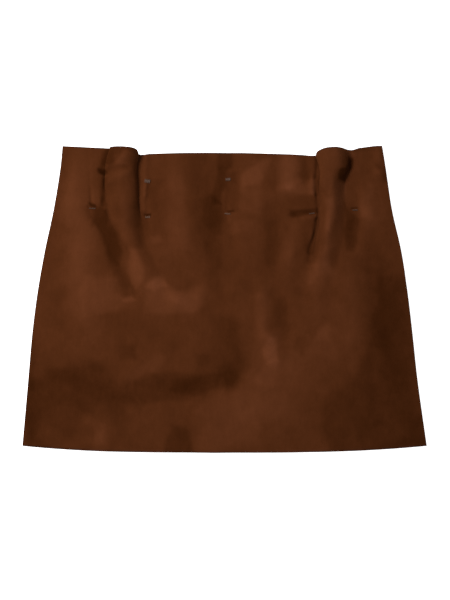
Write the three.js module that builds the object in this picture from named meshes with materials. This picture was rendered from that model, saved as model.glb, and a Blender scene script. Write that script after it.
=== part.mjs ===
// A brown suede mini skirt, laid flat with its front up.
//
// Millimetres. +X is the right of the laid skirt, +Y points to its waist, +Z is up.
// The origin is on the surface, under the middle of the skirt's box.
//
// The front is cut in one piece. Five pleats are sewn down from the waist. Between two of
// them on each side the suede stands up in a soft open roll, and below the bar tacks the
// fullness spreads out in long soft folds. The back is one plain piece under it. A concealed
// zip closes the right side seam, with its slider and its pull tucked inside the waist.

import * as THREE from 'three';

// Main sizes
const WAIST_CORNER_Y = 189.4;
const HEM_CORNER_Y = -181.5;
const HEM_DROP = 8.4;
const LENGTH = WAIST_CORNER_Y - HEM_CORNER_Y;
const WALL = 1.4;
const SEAM_GAP = 0.3;
const FRONT_SEAT = WALL + SEAM_GAP + WALL;

// The fullness that lifts the front off the back, away from the side seams
const PILLOW = 2.6;
const PILLOW_REACH = 75;
const PILLOW_AT_WAIST = 0.8;
const PILLOW_WAIST_REACH = 90;
const PILLOW_AT_HEM = 0.35;
const PILLOW_HEM_REACH = 120;
const FOLD_FADE = 22;
const SOFT_FLOOR = 0.5;

// Side edges of the laid skirt
const SIDE_LINE = [
  { y: WAIST_CORNER_Y, left: -200.3, right: 194.8 },
  { y: 160, left: -203.3, right: 199.6 },
  { y: 110, left: -211.5, right: 207.2 },
  { y: 60, left: -222.2, right: 218.5 },
  { y: 10, left: -231, right: 226.3 },
  { y: -40, left: -237.5, right: 232.3 },
  { y: -100, left: -242.8, right: 238.8 },
  { y: HEM_CORNER_Y, left: -250, right: 250.2 },
];

// Lines of the sewn pleats, by the distance down from the waist, run on to the hem
const PLEAT_LINES = [
  { down: 0, outerLeft: -168.5, innerLeft: -95, centre: -3, outerRight: 166 },
  { down: 40, outerLeft: -166, innerLeft: -95.6, centre: 0, outerRight: 164 },
  { down: 80, outerLeft: -163.9, innerLeft: -95.6, centre: 3, outerRight: 161.6 },
  { down: 110, outerLeft: -163.8, innerLeft: -87, centre: 2, outerRight: 163 },
  { down: 145, outerLeft: -165, innerLeft: -74, centre: 0, outerRight: 166 },
  { down: 205, outerLeft: -174, innerLeft: -60, centre: -2, outerRight: 174 },
  { down: LENGTH, outerLeft: -196, innerLeft: -62, centre: 6, outerRight: 192 },
];

// The standing roll on the left, a row for each section across it
const LEFT_ROLL = [
  { down: 0, centre: -122.5, width: 39, height: 16.5, lean: -0.1, slump: 0 },
  { down: 18, centre: -126.8, width: 42, height: 15.5, lean: -0.05, slump: 0.3 },
  { down: 40, centre: -127, width: 45, height: 13.5, lean: -0.05, slump: 0.35 },
  { down: 65, centre: -126.2, width: 45.6, height: 12, lean: -0.05, slump: 0.4 },
  { down: 80, centre: -124.6, width: 46.6, height: 10, lean: -0.1, slump: 0.6 },
  { down: 95, centre: -122, width: 47, height: 7.6, lean: -0.15, slump: 0.8 },
  { down: 115, centre: -115, width: 46, height: 4.8, lean: -0.2, slump: 1 },
  { down: 145, centre: -102, width: 46, height: 2.6, lean: -0.1, slump: 1 },
  { down: 175, centre: -93, width: 46, height: 1.4, lean: 0, slump: 1 },
  { down: 205, centre: -88, width: 44, height: 0.6, lean: 0, slump: 1 },
  { down: 240, centre: -86, width: 42, height: 0, lean: 0, slump: 1 },
  { down: LENGTH, centre: -100, width: 46, height: 0, lean: 0, slump: 1 },
];

// The standing roll on the right, flared at the waist and narrow below it
const RIGHT_ROLL = [
  { down: 0, centre: 133, width: 48, height: 15.5, lean: 0.1, slump: 1 },
  { down: 12, centre: 135, width: 45, height: 16, lean: 0.05, slump: 0.75 },
  { down: 24, centre: 136, width: 41, height: 15.5, lean: -0.1, slump: 0.4 },
  { down: 36, centre: 133.5, width: 36, height: 14.5, lean: -0.15, slump: 0.5 },
  { down: 45, centre: 132.5, width: 34.5, height: 12.6, lean: -0.15, slump: 0.85 },
  { down: 54, centre: 132.5, width: 35, height: 10.8, lean: -0.1, slump: 1 },
  { down: 70, centre: 132.5, width: 36, height: 9.6, lean: -0.1, slump: 1 },
  { down: 92, centre: 131, width: 36.5, height: 8.8, lean: -0.2, slump: 1 },
  { down: 118, centre: 126, width: 39, height: 6.6, lean: -0.4, slump: 1 },
  { down: 145, centre: 120, width: 39, height: 3.6, lean: -0.1, slump: 1 },
  { down: 180, centre: 115, width: 38, height: 1.8, lean: 0, slump: 1 },
  { down: 220, centre: 112, width: 42, height: 0, lean: 0, slump: 1 },
  { down: LENGTH, centre: 122, width: 46, height: 0, lean: 0, slump: 1 },
];

// A roll taller than ROLL_FULL has steep sides, a broad top and a pinched foot, one lower
// than ROLL_LOW is a plain swell. Where slump is 1 its right side is as soft as a swell's.
const ROLL_FULL = 14;
const ROLL_LOW = 3;
const ROLL_PINCH = 0.14;
const ROLL_FLAT_TOP = 0.5;

// The waist edge, by bay: 0 is the left side, 2 to 3 and 6 to 7 are the two rolls
const WAIST_LINE = [
  { bay: 0, y: WAIST_CORNER_Y },
  { bay: 0.7, y: 188.3 },
  { bay: 1.5, y: 187 },
  { bay: 2, y: 186.4 },
  { bay: 2.2, y: 187.2 },
  { bay: 2.55, y: 187 },
  { bay: 2.8, y: 184.4 },
  { bay: 3, y: 179.2 },
  { bay: 3.6, y: 178.6 },
  { bay: 4.4, y: 180.5 },
  { bay: 5, y: 180.9 },
  { bay: 5.4, y: 180 },
  { bay: 5.85, y: 178.3 },
  { bay: 6, y: 177.4 },
  { bay: 6.2, y: 182.5 },
  { bay: 6.4, y: 186.3 },
  { bay: 6.7, y: 186.6 },
  { bay: 7, y: 184.4 },
  { bay: 8, y: 187 },
  { bay: 8.6, y: 189 },
  { bay: 9, y: WAIST_CORNER_Y },
];

// Sewn pleats: a groove from the waist to the bar tack, deepest at the tack, with a step where
// one side laps over
const PLEATS = [
  { line: 'outerLeft', tack: 75, groove: 1.8, step: 0.6 },
  { line: 'innerLeft', tack: 84, groove: 0.5, step: 0 },
  { line: 'centre', tack: 83, groove: 0.8, step: 0.3 },
  { line: 'outerRight', tack: 78, groove: 0.8, step: -0.2 },
];
const PLEAT_HALF_WIDTH = 4;
const PLEAT_EDGE = 2;
const PLEAT_STEP_REACH = 26;
const PLEAT_RELEASE = 28;
const PLEAT_AT_WAIST = 0.08;
const PLEAT_DEEPENS = 5;

// Soft folds: a ridge where the height is above 0, a trough below it. A fold at the edge isn't
// flattened towards the side seam, as the others are.
const FOLDS = [
  { x0: -154, y0: 157, x1: -145, y1: 155, width: 4.2, height: -4 },
  { x0: -158, y0: 108, x1: -147, y1: 96, width: 9, height: -3 },
  { x0: -147, y0: 100, x1: -130, y1: 58, width: 12, height: -4.4 },
  { x0: -130, y0: 58, x1: -114, y1: 10, width: 10, height: -3.4 },
  { x0: -186, y0: 150, x1: -176, y1: -10, width: 26, height: 2 },
  { x0: -56, y0: 172, x1: -52, y1: 62, width: 24, height: 2.2 },
  { x0: -92, y0: 61, x1: -42, y1: 17, width: 13, height: -1.6 },
  { x0: -96, y0: 26, x1: -61, y1: -2, width: 14, height: 1.5 },
  { x0: -61, y0: -2, x1: -24, y1: 14, width: 13, height: 1.3 },
  { x0: 3, y0: 180, x1: -1, y1: 140, width: 14, height: -1.8 },
  { x0: -1, y0: 140, x1: -3, y1: 70, width: 20, height: -2.8 },
  { x0: -3, y0: 70, x1: -6, y1: -20, width: 20, height: -1.8 },
  { x0: -6, y0: -20, x1: 12, y1: -100, width: 20, height: -1.5 },
  { x0: 44, y0: 178, x1: 42, y1: 110, width: 26, height: 1.8 },
  { x0: 57, y0: 108, x1: 50, y1: 20, width: 12, height: -1.4 },
  { x0: 114.5, y0: 98, x1: 107.5, y1: 60, width: 3.8, height: -4.2 },
  { x0: 107.5, y0: 60, x1: 96, y1: 8, width: 10, height: -2 },
  { x0: 128, y0: 60, x1: 102, y1: 18, width: 10, height: 1.8 },
  { x0: 145, y0: 150, x1: 155, y1: 170, width: 6, height: -3.4 },
  { x0: 158, y0: 146, x1: 160, y1: 70, width: 12, height: -2 },
  { x0: 176, y0: 130, x1: 179, y1: 98, width: 12, height: 2 },
  { x0: 150, y0: 60, x1: 160, y1: -40, width: 24, height: 2 },
  { x0: 48, y0: 20, x1: 45, y1: -44, width: 10, height: 1.8 },
  { x0: 53, y0: -48, x1: 58, y1: -76, width: 12, height: 2.4 },
  { x0: 66, y0: 4, x1: 76, y1: -42, width: 12, height: -2 },
  { x0: 190, y0: 60, x1: 205, y1: -160, width: 26, height: -2 },
  { x0: 18, y0: -112, x1: 66, y1: -160, width: 28, height: 2 },
  { x0: -150, y0: -26, x1: -62, y1: -58, width: 20, height: -1.4 },
  { x0: -122, y0: -98, x1: -44, y1: -44, width: 17, height: 1.6 },
  { x0: -214, y0: -84, x1: -160, y1: -98, width: 16, height: -2 },
  { x0: -160, y0: -98, x1: -96, y1: -126, width: 17, height: -1.8 },
  { x0: -112, y0: -104, x1: -66, y1: -116, width: 13, height: -1.8 },
  { x0: -72, y0: -114, x1: 12, y1: -97, width: 14, height: -2.4 },
  { x0: -56, y0: -140, x1: -55, y1: -195, width: 15, height: -1.6 },
  { x0: -18, y0: -140, x1: -14, y1: -195, width: 16, height: 1.4 },
  { x0: 190, y0: 192, x1: 193, y1: 158, width: 9, height: 3.4, atEdge: true },
];

// Where the wall creases, its lower face moves out by at most 1 / CREASE_LIMIT walls
const CREASE_LIMIT = 0.7;

// Columns in each bay across the front, and rows down it, closer together at the waist
const BAY_COLUMNS = [6, 5, 16, 3, 13, 15, 16, 4, 6];
const ROWS = 26;
const ROW_CROWDING = 1.2;

// Back: its waist edge dips below the front's
const BACK_WAIST_CORNER = 188.6;
const BACK_WAIST_DIP = 13.6;
const BACK_EDGE_STEPS = 28;

// Concealed zip in the right side seam
const ZIP_INSET = 0.9;
const ZIP_TAPE_WIDTH = 9;
const ZIP_TAPE_THICK = 0.5;
const ZIP_TOP_Y = 181;
const ZIP_BOTTOM_Y = 40;
const ZIP_STEPS = 14;
const ZIP_LIFT_REACH = 12;
const ZIP_LIFT_FADE = 18;
const ZIP_LIFT_START = 16;
const SLIDER_SIZE = { x: 4.6, y: 7.5, z: 1.9 };
const SLIDER_INSET = 4.2;
const PULL_LENGTH = 19;
const PULL_NECK = 1.5;
const PULL_WIDTH = 4.2;
const PULL_THICK = 0.9;

const COLOURS = { suede: 0x4c2815, tape: 0x3a2216, metal: 0x4d4138 };

function mix(a, b, t) {
  return a + (b - a) * t;
}

function smooth(t) {
  const s = Math.min(Math.max(t, 0), 1);
  return s * s * (3 - 2 * s);
}

// A smooth curve through a column of a table, whose rows are in the order of their key
function along(rows, key, column, at) {
  const rising = rows[rows.length - 1][key] > rows[0][key] ? 1 : -1;
  let i = 0;
  while (i < rows.length - 2 && (at - rows[i + 1][key]) * rising > 0) i += 1;
  const slope = (a, b) => (b[column] - a[column]) / (b[key] - a[key]);
  const here = rows[i];
  const next = rows[i + 1];
  const before = rows[Math.max(i - 1, 0)];
  const after = rows[Math.min(i + 2, rows.length - 1)];
  const span = next[key] - here[key];
  const t = Math.min(Math.max((at - here[key]) / span, 0), 1);
  const leave = slope(before, next) * span;
  const arrive = slope(here, after) * span;
  const t2 = t * t;
  const t3 = t2 * t;
  return (2 * t3 - 3 * t2 + 1) * here[column] + (t3 - 2 * t2 + t) * leave
    + (3 * t2 - 2 * t3) * next[column] + (t3 - t2) * arrive;
}

function sideX(side, y) {
  return along(SIDE_LINE, 'y', side, y);
}

// One section across a roll
function rollSection(table, down) {
  const at = (column) => along(table, 'down', column, down);
  const height = Math.max(at('height'), 0);
  const full = smooth((height - ROLL_LOW) / (ROLL_FULL - ROLL_LOW));
  return {
    centre: at('centre'), width: at('width'), lean: at('lean'), slump: at('slump'), height, full,
  };
}

// The point of a roll's section from its left foot, turn 0, to its right foot, turn 1
function rollPoint(section, turn) {
  const { centre, width, height, lean, slump, full } = section;
  const steep = turn > 0.5 ? full * (1 - slump) : full;
  const swell = Math.sin(Math.PI * turn);
  const pinch = ROLL_PINCH * steep * (1 - swell) ** 2;
  const across = mix(2 * turn - 1, -Math.cos(Math.PI * turn), steep);
  const lift = height * swell ** mix(2, ROLL_FLAT_TOP, steep);
  return { x: centre + across * (1 - pinch) * width / 2 + lean * lift, z: lift };
}

// Distance of a point from a fold's line
function nearLine(fold, x, y) {
  const dx = fold.x1 - fold.x0;
  const dy = fold.y1 - fold.y0;
  const part = ((x - fold.x0) * dx + (y - fold.y0) * dy) / (dx * dx + dy * dy);
  const t = Math.min(Math.max(part, 0), 1);
  return Math.hypot(x - fold.x0 - t * dx, y - fold.y0 - t * dy);
}

function foldHeight(x, y, inward) {
  const calm = smooth(inward / FOLD_FADE);
  let sum = 0;
  for (const fold of FOLDS) {
    const near = nearLine(fold, x, y) / fold.width;
    sum += fold.height * Math.exp(-near * near) * (fold.atEdge ? 1 : calm);
  }
  return sum;
}

function pleatHeight(x, down) {
  let sum = 0;
  for (const pleat of PLEATS) {
    const off = x - along(PLEAT_LINES, 'down', pleat.line, down);
    const deepening = smooth(down / pleat.tack) ** PLEAT_DEEPENS;
    const held = mix(PLEAT_AT_WAIST, 1, deepening) * (1 - smooth((down - pleat.tack) / PLEAT_RELEASE));
    const groove = pleat.groove * Math.exp(-((off / PLEAT_HALF_WIDTH) ** 2));
    const lap = Math.tanh(off / PLEAT_EDGE) * Math.exp(-Math.abs(off) / PLEAT_STEP_REACH);
    sum += held * (pleat.step * lap - groove);
  }
  return sum;
}

// The zip's tape lifts the front along the right seam
function zipLift(y, fromRight) {
  const beside = 1 - smooth((fromRight - ZIP_LIFT_REACH) / ZIP_LIFT_FADE);
  const above = smooth((y - ZIP_BOTTOM_Y + ZIP_LIFT_FADE) / ZIP_LIFT_START);
  return (ZIP_TAPE_THICK + SEAM_GAP) * beside * above;
}

// Height of the front's upper face over the surface, apart from the rolls
function frontHeight(x, y, down) {
  const fromRight = sideX('right', y) - x;
  const inward = Math.min(x - sideX('left', y), fromRight);
  const nearHem = (down - LENGTH + PILLOW_HEM_REACH) / PILLOW_HEM_REACH;
  const ends = mix(PILLOW_AT_WAIST, 1, smooth(down / PILLOW_WAIST_REACH))
    * mix(1, PILLOW_AT_HEM, smooth(nearHem));
  const pillow = PILLOW * ends * smooth(inward / PILLOW_REACH);
  const loose = pillow + foldHeight(x, y, inward) + pleatHeight(x, down);
  return FRONT_SEAT + zipLift(y, fromRight) + (loose + Math.hypot(loose, SOFT_FLOOR)) / 2;
}

// The feet of the rolls, the pleat lines and the side edges, from left to right
function bayLines(down, cornerY) {
  const pleat = (line) => along(PLEAT_LINES, 'down', line, down);
  const foot = (table, turn) => rollPoint(rollSection(table, down), turn).x;
  return [
    sideX('left', cornerY),
    pleat('outerLeft'),
    foot(LEFT_ROLL, 0),
    foot(LEFT_ROLL, 1),
    pleat('innerLeft'),
    pleat('centre'),
    foot(RIGHT_ROLL, 0),
    foot(RIGHT_ROLL, 1),
    pleat('outerRight'),
    sideX('right', cornerY),
  ];
}

function hemY(share) {
  return HEM_CORNER_Y - HEM_DROP * (1 - Math.abs(2 * share - 1) ** 3);
}

// A point of the front's upper face
function frontPoint(bay, turn, down) {
  const cornerY = WAIST_CORNER_Y - down;
  const lines = bayLines(down, cornerY);
  const x = mix(lines[bay], lines[bay + 1], turn);
  const share = (x - lines[0]) / (lines[9] - lines[0]);
  const y = mix(along(WAIST_LINE, 'bay', 'y', bay + turn), hemY(share), down / LENGTH);
  const z = frontHeight(x, y, down);
  const table = { 2: LEFT_ROLL, 6: RIGHT_ROLL }[bay];
  if (!table) return new THREE.Vector3(x, y, z);
  const roll = rollPoint(rollSection(table, down), turn);
  return new THREE.Vector3(roll.x, y, z + roll.z);
}

function frontGrid() {
  const grid = [];
  for (let row = 0; row <= ROWS; row += 1) {
    const down = LENGTH * (row / ROWS) ** ROW_CROWDING;
    const line = [frontPoint(0, 0, down)];
    BAY_COLUMNS.forEach((count, bay) => {
      for (let i = 1; i <= count; i += 1) line.push(frontPoint(bay, i / count, down));
    });
    grid.push(line);
  }
  return grid;
}

// The lower face of a wall: each point of a grid moved in along the mean normal there
function offsetGrid(grid, wall, lowest) {
  return grid.map((line, r) => line.map((point, c) => {
    const faces = [];
    for (const [dr, dc] of [[-1, -1], [-1, 1], [1, 1], [1, -1]]) {
      const down = grid[r + dr]?.[c];
      const side = line[c + dc];
      if (!down || !side) continue;
      const a = down.clone().sub(point).multiplyScalar(dr);
      const b = side.clone().sub(point).multiplyScalar(dc);
      faces.push(a.cross(b).normalize());
    }
    const mean = faces.reduce((sum, n) => sum.add(n), new THREE.Vector3()).normalize();
    const squeeze = Math.max(...faces.map((n) => 1 / Math.max(n.dot(mean), CREASE_LIMIT)));
    const moved = point.clone().addScaledVector(mean, -wall * squeeze);
    moved.z = Math.max(moved.z, lowest);
    return moved;
  }));
}

// A closed solid between two grids of the same size
function gridSolid(upper, lower) {
  const rows = upper.length;
  const columns = upper[0].length;
  const positions = [...upper.flat(), ...lower.flat()].flatMap((p) => [p.x, p.y, p.z]);
  const top = (r, c) => r * columns + c;
  const under = (r, c) => rows * columns + r * columns + c;
  const index = [];
  const quad = (a, b, c, d) => index.push(a, b, c, a, c, d);
  for (let r = 0; r < rows - 1; r += 1) {
    for (let c = 0; c < columns - 1; c += 1) {
      quad(top(r, c), top(r + 1, c), top(r + 1, c + 1), top(r, c + 1));
      quad(under(r, c), under(r, c + 1), under(r + 1, c + 1), under(r + 1, c));
    }
  }
  for (let r = 0; r < rows - 1; r += 1) {
    const last = columns - 1;
    quad(top(r, 0), under(r, 0), under(r + 1, 0), top(r + 1, 0));
    quad(top(r, last), top(r + 1, last), under(r + 1, last), under(r, last));
  }
  for (let c = 0; c < columns - 1; c += 1) {
    const last = rows - 1;
    quad(top(0, c), top(0, c + 1), under(0, c + 1), under(0, c));
    quad(top(last, c), under(last, c), under(last, c + 1), top(last, c + 1));
  }
  const geometry = new THREE.BufferGeometry();
  geometry.setAttribute('position', new THREE.Float32BufferAttribute(positions, 3));
  geometry.setIndex(index);
  return geometry;
}

function frontPanel() {
  const upper = frontGrid();
  return gridSolid(upper, offsetGrid(upper, WALL, WALL + SEAM_GAP));
}

function extruded(shape, thick, bottom) {
  const geometry = new THREE.ExtrudeGeometry(shape, { depth: thick, bevelEnabled: false });
  geometry.translate(0, 0, bottom);
  return geometry;
}

// The back lies flat on the surface, with the front's sides and hem
function backPanel() {
  const steps = [...Array(BACK_EDGE_STEPS + 1).keys()].map((i) => i / BACK_EDGE_STEPS);
  const waist = steps.map((t) => new THREE.Vector2(
    mix(sideX('left', WAIST_CORNER_Y), sideX('right', WAIST_CORNER_Y), t),
    BACK_WAIST_CORNER - BACK_WAIST_DIP * (1 - (2 * t - 1) ** 4),
  ));
  const right = steps.slice(1, -1).map((t) => {
    const y = mix(BACK_WAIST_CORNER, HEM_CORNER_Y, t);
    return new THREE.Vector2(sideX('right', y), y);
  });
  const hem = steps.map((t) => new THREE.Vector2(
    mix(sideX('right', HEM_CORNER_Y), sideX('left', HEM_CORNER_Y), t),
    hemY(1 - t),
  ));
  const left = right.map((_, i) => {
    const y = mix(HEM_CORNER_Y, BACK_WAIST_CORNER, steps[i + 1]);
    return new THREE.Vector2(sideX('left', y), y);
  });
  const outline = [...waist, ...right, ...hem, ...left].reverse();
  return extruded(new THREE.Shape(outline), WALL, 0);
}

// The tape with its closed coil, in the seam between back and front
function zipTape() {
  const bottom = WALL + SEAM_GAP;
  const lines = [...Array(ZIP_STEPS + 1).keys()].map((i) => {
    const y = mix(ZIP_TOP_Y, ZIP_BOTTOM_Y, i / ZIP_STEPS);
    const outer = sideX('right', y) - ZIP_INSET;
    return [outer - ZIP_TAPE_WIDTH, outer].map((x) => new THREE.Vector3(x, y, bottom));
  });
  const upper = lines.map((line) => line.map(({ x, y }) => (
    new THREE.Vector3(x, y, bottom + ZIP_TAPE_THICK)
  )));
  return gridSolid(upper, lines);
}

function zipSlider() {
  const { x, y, z } = SLIDER_SIZE;
  const shape = new THREE.Shape();
  shape.moveTo(-x / 2, y / 2);
  shape.lineTo(-x / 2, 0);
  shape.quadraticCurveTo(-x / 2, -y / 2, -x / 6, -y / 2);
  shape.lineTo(x / 6, -y / 2);
  shape.quadraticCurveTo(x / 2, -y / 2, x / 2, 0);
  shape.lineTo(x / 2, y / 2);
  shape.closePath();
  return extruded(shape, z, 0);
}

// A drop-shaped pull, its eye at the origin and its length along -Y
function zipPull() {
  const shape = new THREE.Shape();
  const round = PULL_WIDTH / 2;
  shape.moveTo(PULL_NECK / 2, 0);
  shape.lineTo(-PULL_NECK / 2, 0);
  shape.bezierCurveTo(-PULL_NECK / 2, -PULL_LENGTH / 2, -round, -PULL_LENGTH / 2,
    -round, round - PULL_LENGTH);
  shape.absarc(0, round - PULL_LENGTH, round, Math.PI, 2 * Math.PI, false);
  shape.bezierCurveTo(round, -PULL_LENGTH / 2, PULL_NECK / 2, -PULL_LENGTH / 2,
    PULL_NECK / 2, 0);
  return extruded(shape, PULL_THICK, 0);
}

const skirt = new THREE.Group();

function add(name, geometry, colour, roughness, metalness) {
  const material = new THREE.MeshStandardMaterial({ color: colour, roughness, metalness });
  const mesh = new THREE.Mesh(geometry, material);
  mesh.name = name;
  skirt.add(mesh);
  return mesh;
}

add('front_panel', frontPanel(), COLOURS.suede, 0.95, 0);
add('back_panel', backPanel(), COLOURS.suede, 0.95, 0);
add('zip_tape', zipTape(), COLOURS.tape, 0.9, 0);

const sliderY = ZIP_TOP_Y - SLIDER_SIZE.y / 2;
const sliderX = sideX('right', sliderY) - SLIDER_INSET;
const sliderZ = WALL + SEAM_GAP + ZIP_TAPE_THICK + SEAM_GAP;
add('zip_slider', zipSlider(), COLOURS.metal, 0.45, 0.8).position.set(sliderX, sliderY, sliderZ);

const pullY = sliderY - SLIDER_SIZE.y / 2 - SEAM_GAP;
add('zip_pull', zipPull(), COLOURS.metal, 0.45, 0.8).position.set(sliderX, pullY, sliderZ);

export default skirt;
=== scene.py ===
"""A brown suede mini skirt laid flat, front up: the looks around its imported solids.

Sizes are in millimetres in the tables and turn into metres where a mesh is built.
+X is the right of the laid skirt, +Y points to its waist, +Z is up from the surface.
"""

import math

import bpy
import numpy as np
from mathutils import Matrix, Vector


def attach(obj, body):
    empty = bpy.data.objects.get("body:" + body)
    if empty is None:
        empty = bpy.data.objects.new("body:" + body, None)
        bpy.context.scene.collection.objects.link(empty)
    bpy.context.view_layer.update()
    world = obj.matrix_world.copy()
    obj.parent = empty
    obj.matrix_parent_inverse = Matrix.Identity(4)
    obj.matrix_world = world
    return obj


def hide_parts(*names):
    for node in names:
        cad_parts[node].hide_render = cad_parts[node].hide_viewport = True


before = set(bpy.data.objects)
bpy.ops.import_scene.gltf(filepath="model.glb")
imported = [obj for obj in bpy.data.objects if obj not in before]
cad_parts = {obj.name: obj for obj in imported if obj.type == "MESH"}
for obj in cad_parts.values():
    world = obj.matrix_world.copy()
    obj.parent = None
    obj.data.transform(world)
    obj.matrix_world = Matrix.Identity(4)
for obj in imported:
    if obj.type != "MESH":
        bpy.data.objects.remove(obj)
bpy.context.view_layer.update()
MM = 0.001

# Main sizes of the skirt. The hem drops from its corners in a curve of this power.
WAIST_CORNER_Y = 189.4
HEM_CORNER_Y = -181.5
HEM_DROP = 8.4
HEM_POWER = 3
LENGTH = WAIST_CORNER_Y - HEM_CORNER_Y
WALL = 1.4
SEAM_GAP = 0.3
FRONT_SEAT = WALL + SEAM_GAP + WALL

# The cut edge: how far it rounds out, its steps round the edge in degrees, and how much of its
# dark colour spills onto the face's border as a painted shadow along the outline
EDGE_ROUND = 0.55
RIM_ANGLES = (40, 90, 140)
RIM_SHADOW_ON_FACE = 0.6

# The fullness that lifts the front off the back, away from the side seams
PILLOW = 2.6
PILLOW_REACH = 75
PILLOW_AT_WAIST = 0.8
PILLOW_WAIST_REACH = 90
PILLOW_AT_HEM = 0.35
PILLOW_HEM_REACH = 120

# Folds fade out this near the side seams, and troughs round off where they come down on the back
FOLD_FADE = 22
SOFT_FLOOR = 0.5


def table(names, *rows):
    """A table with named columns, as one array for each column."""
    return dict(zip(names.split(), np.array(rows, float).T))


# The side edges, from the waist to the hem
SIDE_LINE = table(
    "y left right",
    (WAIST_CORNER_Y, -200.3, 194.8),
    (160, -203.3, 199.6),
    (110, -211.5, 207.2),
    (60, -222.2, 218.5),
    (10, -231, 226.3),
    (-40, -237.5, 232.3),
    (-100, -242.8, 238.8),
    (HEM_CORNER_Y, -250, 250.2),
)

# Lines of the sewn pleats, by the distance down from the waist, run on to the hem
PLEAT_LINES = table(
    "down outer_left inner_left centre outer_right",
    (0, -168.5, -95, -3, 166),
    (40, -166, -95.6, 0, 164),
    (80, -163.9, -95.6, 3, 161.6),
    (110, -163.8, -87, 2, 163),
    (145, -165, -74, 0, 166),
    (205, -174, -60, -2, 174),
    (LENGTH, -196, -62, 6, 192),
)

# The two standing rolls, a row for each section across them. Lean tilts a section to the
# right, and slump 1 lets its right half fall as a plain slope.
LEFT_ROLL = table(
    "down centre width height lean slump",
    (0, -122.5, 39, 16.5, -0.1, 0),
    (18, -126.8, 42, 15.5, -0.05, 0.3),
    (40, -127, 45, 13.5, -0.05, 0.35),
    (65, -126.2, 45.6, 12, -0.05, 0.4),
    (80, -124.6, 46.6, 10, -0.1, 0.6),
    (95, -122, 47, 7.6, -0.15, 0.8),
    (115, -115, 46, 4.8, -0.2, 1),
    (145, -102, 46, 2.6, -0.1, 1),
    (175, -93, 46, 1.4, 0, 1),
    (205, -88, 44, 0.6, 0, 1),
    (240, -86, 42, 0, 0, 1),
    (LENGTH, -100, 46, 0, 0, 1),
)
RIGHT_ROLL = table(
    "down centre width height lean slump",
    (0, 133, 48, 15.5, 0.1, 1),
    (12, 135, 45, 16, 0.05, 0.75),
    (24, 136, 41, 15.5, -0.1, 0.4),
    (36, 133.5, 36, 14.5, -0.15, 0.5),
    (45, 132.5, 34.5, 12.6, -0.15, 0.85),
    (54, 132.5, 35, 10.8, -0.1, 1),
    (70, 132.5, 36, 9.6, -0.1, 1),
    (92, 131, 36.5, 8.8, -0.2, 1),
    (118, 126, 39, 6.6, -0.4, 1),
    (145, 120, 39, 3.6, -0.1, 1),
    (180, 115, 38, 1.8, 0, 1),
    (220, 112, 42, 0, 0, 1),
    (LENGTH, 122, 46, 0, 0, 1),
)
ROLL_BAYS = {2: LEFT_ROLL, 6: RIGHT_ROLL}

# A section as high as the first is a round roll, pinched at its feet, and one as low as the
# second is a plain swell. The powers shape the two.
ROLL_FULL = 14
ROLL_LOW = 3
ROLL_PINCH = 0.14
ROLL_FULL_POWER = 0.5
ROLL_LOW_POWER = 2

# The waist edge, by bay: 0 is the left side, 2 to 3 and 6 to 7 are the two rolls
WAIST_LINE = table(
    "bay y",
    (0, WAIST_CORNER_Y),
    (0.7, 188.3),
    (1.5, 187),
    (2, 186.4),
    (2.2, 187.2),
    (2.55, 187),
    (2.8, 184.4),
    (3, 179.2),
    (3.6, 178.6),
    (4.4, 180.5),
    (5, 180.9),
    (5.4, 180),
    (5.85, 178.3),
    (6, 177.4),
    (6.2, 182.5),
    (6.4, 186.3),
    (6.7, 186.6),
    (7, 184.4),
    (8, 187),
    (8.6, 189),
    (9, WAIST_CORNER_Y),
)

# Sewn pleats: a groove that deepens from the waist to the bar tack, and a step where one side
# laps over
PLEATS = (
    {"line": "outer_left", "tack": 75, "groove": 1.8, "step": 0.6},
    {"line": "inner_left", "tack": 84, "groove": 0.5, "step": 0},
    {"line": "centre", "tack": 83, "groove": 0.8, "step": 0.3},
    {"line": "outer_right", "tack": 78, "groove": 0.8, "step": -0.2},
)
PLEAT_HALF_WIDTH = 2.2
PLEAT_EDGE = 1.1
PLEAT_STEP_REACH = 26
PLEAT_RELEASE = 12
PLEAT_AT_WAIST = 0.08
PLEAT_DEEPENS = 5

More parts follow.
